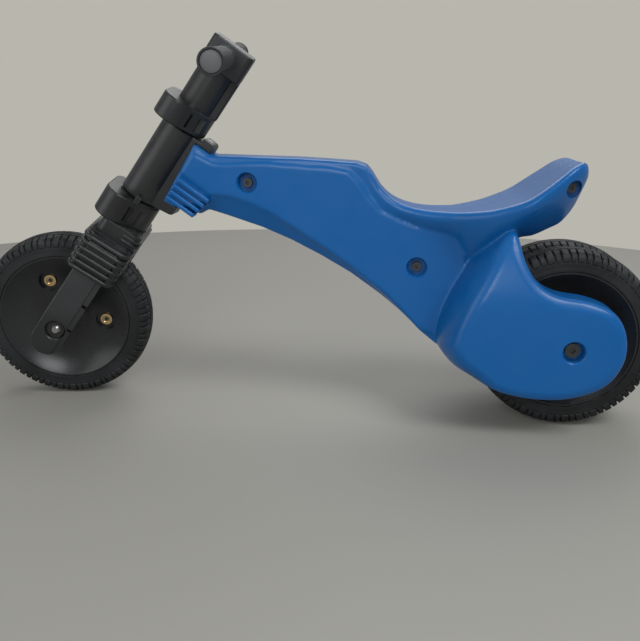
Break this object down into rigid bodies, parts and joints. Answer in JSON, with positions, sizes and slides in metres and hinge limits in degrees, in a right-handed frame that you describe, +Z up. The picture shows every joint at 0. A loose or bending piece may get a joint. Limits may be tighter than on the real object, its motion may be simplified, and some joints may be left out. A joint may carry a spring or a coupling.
{
  "type": "balance bike",
  "caption": "Child's pedal-free balance bike: moulded blue frame with built-in saddle, black steering fork, one front wheel and a close-set pair of rear wheels.",
  "frame": {"origin": "on the ground, midway between the front and rear axles, on the bike's mid plane", "axes": "+X towards the rear wheels (the bike faces -X), +Y to the bike's right side, +Z up"},
  "size_m": [0.8965, 0.368, 0.4865],
  "materials": {
    "blue_plastic": "satin moulded polypropylene, fine grain",
    "black_plastic": "satin glass-filled nylon",
    "tyre_rubber": "matt solid tyre",
    "grip_rubber": "soft ribbed rubber",
    "grey_plastic": "smooth bearing plastic",
    "brass": "bright turned",
    "bolt_steel": "zinc plated, dulled",
    "tube_steel": "drawn tube"
  },
  "bodies": {
    "frame": {"frame_half_left": "blue_plastic", "frame_half_right": "blue_plastic", "head_tube": "black_plastic", "head_bush_upper": "grey_plastic", "head_bush_lower": "grey_plastic", "lug_screws": "bolt_steel", "frame_bolts": "bolt_steel", "frame_nuts": "bolt_steel", "rear_axle": "bolt_steel", "rear_axle_nut": "bolt_steel", "rear_spacers": "grey_plastic", "rear_centre_washer": "grey_plastic"},
    "fork": {"stem": "black_plastic", "fork": "black_plastic", "steering_spindle": "tube_steel", "spindle_bolts": "bolt_steel", "handlebar": "tube_steel", "grip_left": "grip_rubber", "grip_right": "grip_rubber", "bar_plug_left": "grey_plastic", "bar_plug_right": "grey_plastic", "bar_screw": "bolt_steel", "front_axle": "bolt_steel", "front_axle_nut": "bolt_steel", "front_washers": "black_plastic", "front_spacers": "grey_plastic"},
    "front_wheel": {"front_tyre": "tyre_rubber", "front_rim_left": "black_plastic", "front_rim_right": "black_plastic", "front_bushes": "grey_plastic", "front_rim_bolts": "bolt_steel", "front_rim_nuts": "brass"},
    "rear_left_wheel": {"rear_left_tyre": "tyre_rubber", "rear_left_rim_outer": "black_plastic", "rear_left_rim_inner": "black_plastic", "rear_left_bushes": "grey_plastic", "rear_left_rim_bolts": "bolt_steel", "rear_left_rim_nuts": "brass"},
    "rear_right_wheel": {"rear_right_tyre": "tyre_rubber", "rear_right_rim_outer": "black_plastic", "rear_right_rim_inner": "black_plastic", "rear_right_bushes": "grey_plastic", "rear_right_rim_bolts": "bolt_steel", "rear_right_rim_nuts": "brass"}
  },
  "joints": [
    {"name": "steering", "type": "hinge", "parent": "frame", "child": "fork", "pos_m": [-0.33709, 0, 0.11754], "axis": [0.5779, 0, 0.8161], "range_deg": [-48.9, 31.1]},
    {"name": "front_wheel_spin", "type": "hinge", "parent": "fork", "child": "front_wheel", "pos_m": [-0.33354, 0.00068, 0.11503], "axis": [-0.1263, 0.988, 0.0894], "continuous": true},
    {"name": "rear_left_wheel_spin", "type": "hinge", "parent": "frame", "child": "rear_left_wheel", "pos_m": [0.3335, -0.0265, 0.115], "axis": [0, 1, 0], "continuous": true},
    {"name": "rear_right_wheel_spin", "type": "hinge", "parent": "frame", "child": "rear_right_wheel", "pos_m": [0.3335, 0.0265, 0.115], "axis": [0, 1, 0], "continuous": true}
  ]
}
